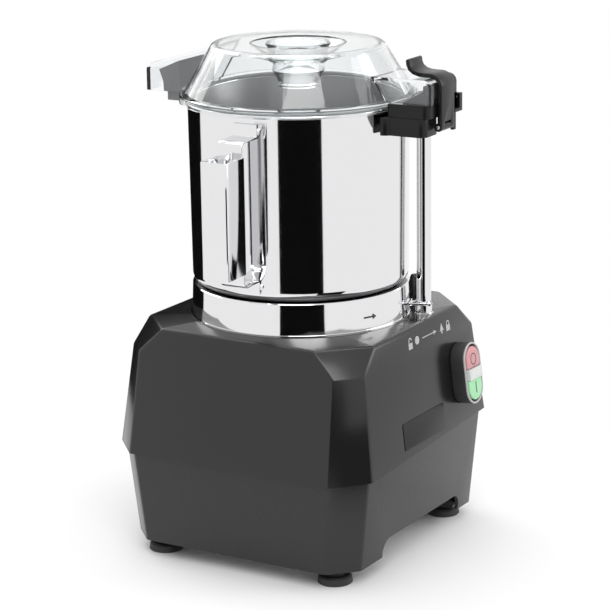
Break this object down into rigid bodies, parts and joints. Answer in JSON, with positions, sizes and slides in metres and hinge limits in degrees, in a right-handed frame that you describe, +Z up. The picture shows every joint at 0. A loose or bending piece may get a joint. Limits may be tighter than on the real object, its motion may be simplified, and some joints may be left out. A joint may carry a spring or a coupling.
{
  "type": "bowl cutter",
  "caption": "Tabletop bowl cutter: faceted black motor body on rubber feet, tall steel bowl with a side handle, clear lid with a strap latch, safety post and push buttons.",
  "frame": {"origin": "on the surface that the feet stand on, under the middle of the whole machine's plan box", "axes": "+Z up, -Y out of the front with the buttons, +X to the front's right as seen by the user; the bowl's handle points to -X"},
  "size_m": [0.3564, 0.3566, 0.5553],
  "materials": {
    "body_black": "satin",
    "base_black": "satin",
    "black_plastic": "satin",
    "dark_plastic": "satin",
    "white_plastic": "gloss",
    "red_plastic": "gloss",
    "green_plastic": "gloss",
    "board_green": "gloss",
    "clear_plastic": "gloss",
    "mirror_steel": "mirror",
    "blade_steel": "satin",
    "plate_steel": "satin",
    "core_steel": "satin",
    "zinc": "satin",
    "cast_aluminium": "cast",
    "foot_rubber": "matt",
    "boot_rubber": "matt",
    "seal_rubber": "matt"
  },
  "bodies": {
    "housing": {"lower_base": "base_black", "upper_housing": "body_black", "bottom_plate": "plate_steel", "base_screws": "zinc", "foot_front_left": "foot_rubber", "foot_front_right": "foot_rubber", "foot_rear_left": "foot_rubber", "foot_rear_right": "foot_rubber", "foot_screws": "zinc", "nameplate": "black_plastic", "bowl_seat": "black_plastic", "motor_can": "plate_steel", "front_end_bell": "cast_aluminium", "rear_end_bell": "cast_aluminium", "motor_bolts": "zinc", "stator": "core_steel", "front_bearing": "core_steel", "rear_bearing": "core_steel", "shaft_seal": "foot_rubber", "switch_boot": "boot_rubber", "switch_bezel": "white_plastic", "pilot_lens": "white_plastic", "contact_block": "dark_plastic", "cord_gland": "black_plastic", "run_capacitor": "white_plastic", "control_board": "board_green", "terminal_block": "white_plastic", "interlock_switch": "dark_plastic", "switch_bracket": "zinc", "post_tube": "mirror_steel", "post_sleeve": "mirror_steel", "post_nut": "zinc", "post_head": "black_plastic", "sensor_tower": "black_plastic"},
    "rotor": {"rotor": "core_steel", "drive_shaft": "core_steel", "cooling_fan": "black_plastic", "blade_hub": "black_plastic", "lower_blade": "blade_steel", "upper_blade": "blade_steel", "blade_knob": "black_plastic"},
    "bowl": {"bowl": "mirror_steel", "bowl_skirt": "mirror_steel", "lock_tab": "mirror_steel", "handle_strap": "mirror_steel", "handle_grip": "mirror_steel"},
    "lid": {"lid": "clear_plastic", "lid_seal": "seal_rubber", "rear_block": "dark_plastic", "rear_pin": "white_plastic", "front_block": "dark_plastic", "latch_collar": "black_plastic", "latch_pin": "zinc"},
    "latch_lever": {"latch_lever": "black_plastic"},
    "stopper_cup": {"stopper_cup": "clear_plastic"},
    "stop_button": {"stop_button": "red_plastic"},
    "start_button": {"start_button": "green_plastic"},
    "interlock_rod": {"interlock_rod": "zinc"}
  },
  "joints": [
    {"name": "rotor_spin", "type": "hinge", "parent": "housing", "child": "rotor", "pos_m": [0.012, 0.003, 0.2], "axis": [0, 0, 1], "continuous": true},
    {"name": "bowl_twist", "type": "hinge", "parent": "housing", "child": "bowl", "pos_m": [0.012, 0.003, 0.3], "axis": [0, 0, 1], "range_deg": [-15, 0]},
    {"name": "lid_lift", "type": "slide", "parent": "housing", "child": "lid", "axis": [0, 0, 1], "range_m": [0, 0.2]},
    {"name": "stopper_lift", "type": "slide", "parent": "lid", "child": "stopper_cup", "axis": [0, 0, 1], "range_m": [0, 0.06]},
    {"name": "latch_swing", "type": "hinge", "parent": "lid", "child": "latch_lever", "pos_m": [0.01506, -0.17237, 0.4778], "axis": [0.9998, 0.0175, 0], "range_deg": [0, 100]},
    {"name": "stop_press", "type": "slide", "parent": "housing", "child": "stop_button", "axis": [0, 0.9926, -0.1214], "range_m": [0, 0.003], "stiffness_N_per_m": 600},
    {"name": "start_press", "type": "slide", "parent": "housing", "child": "start_button", "axis": [0, 0.9926, -0.1214], "range_m": [0, 0.003], "stiffness_N_per_m": 600},
    {"name": "rod_press", "type": "slide", "parent": "housing", "child": "interlock_rod", "axis": [0, 0, -1], "range_m": [0, 0.003], "stiffness_N_per_m": 1500, "springref_m": -0.002}
  ]
}
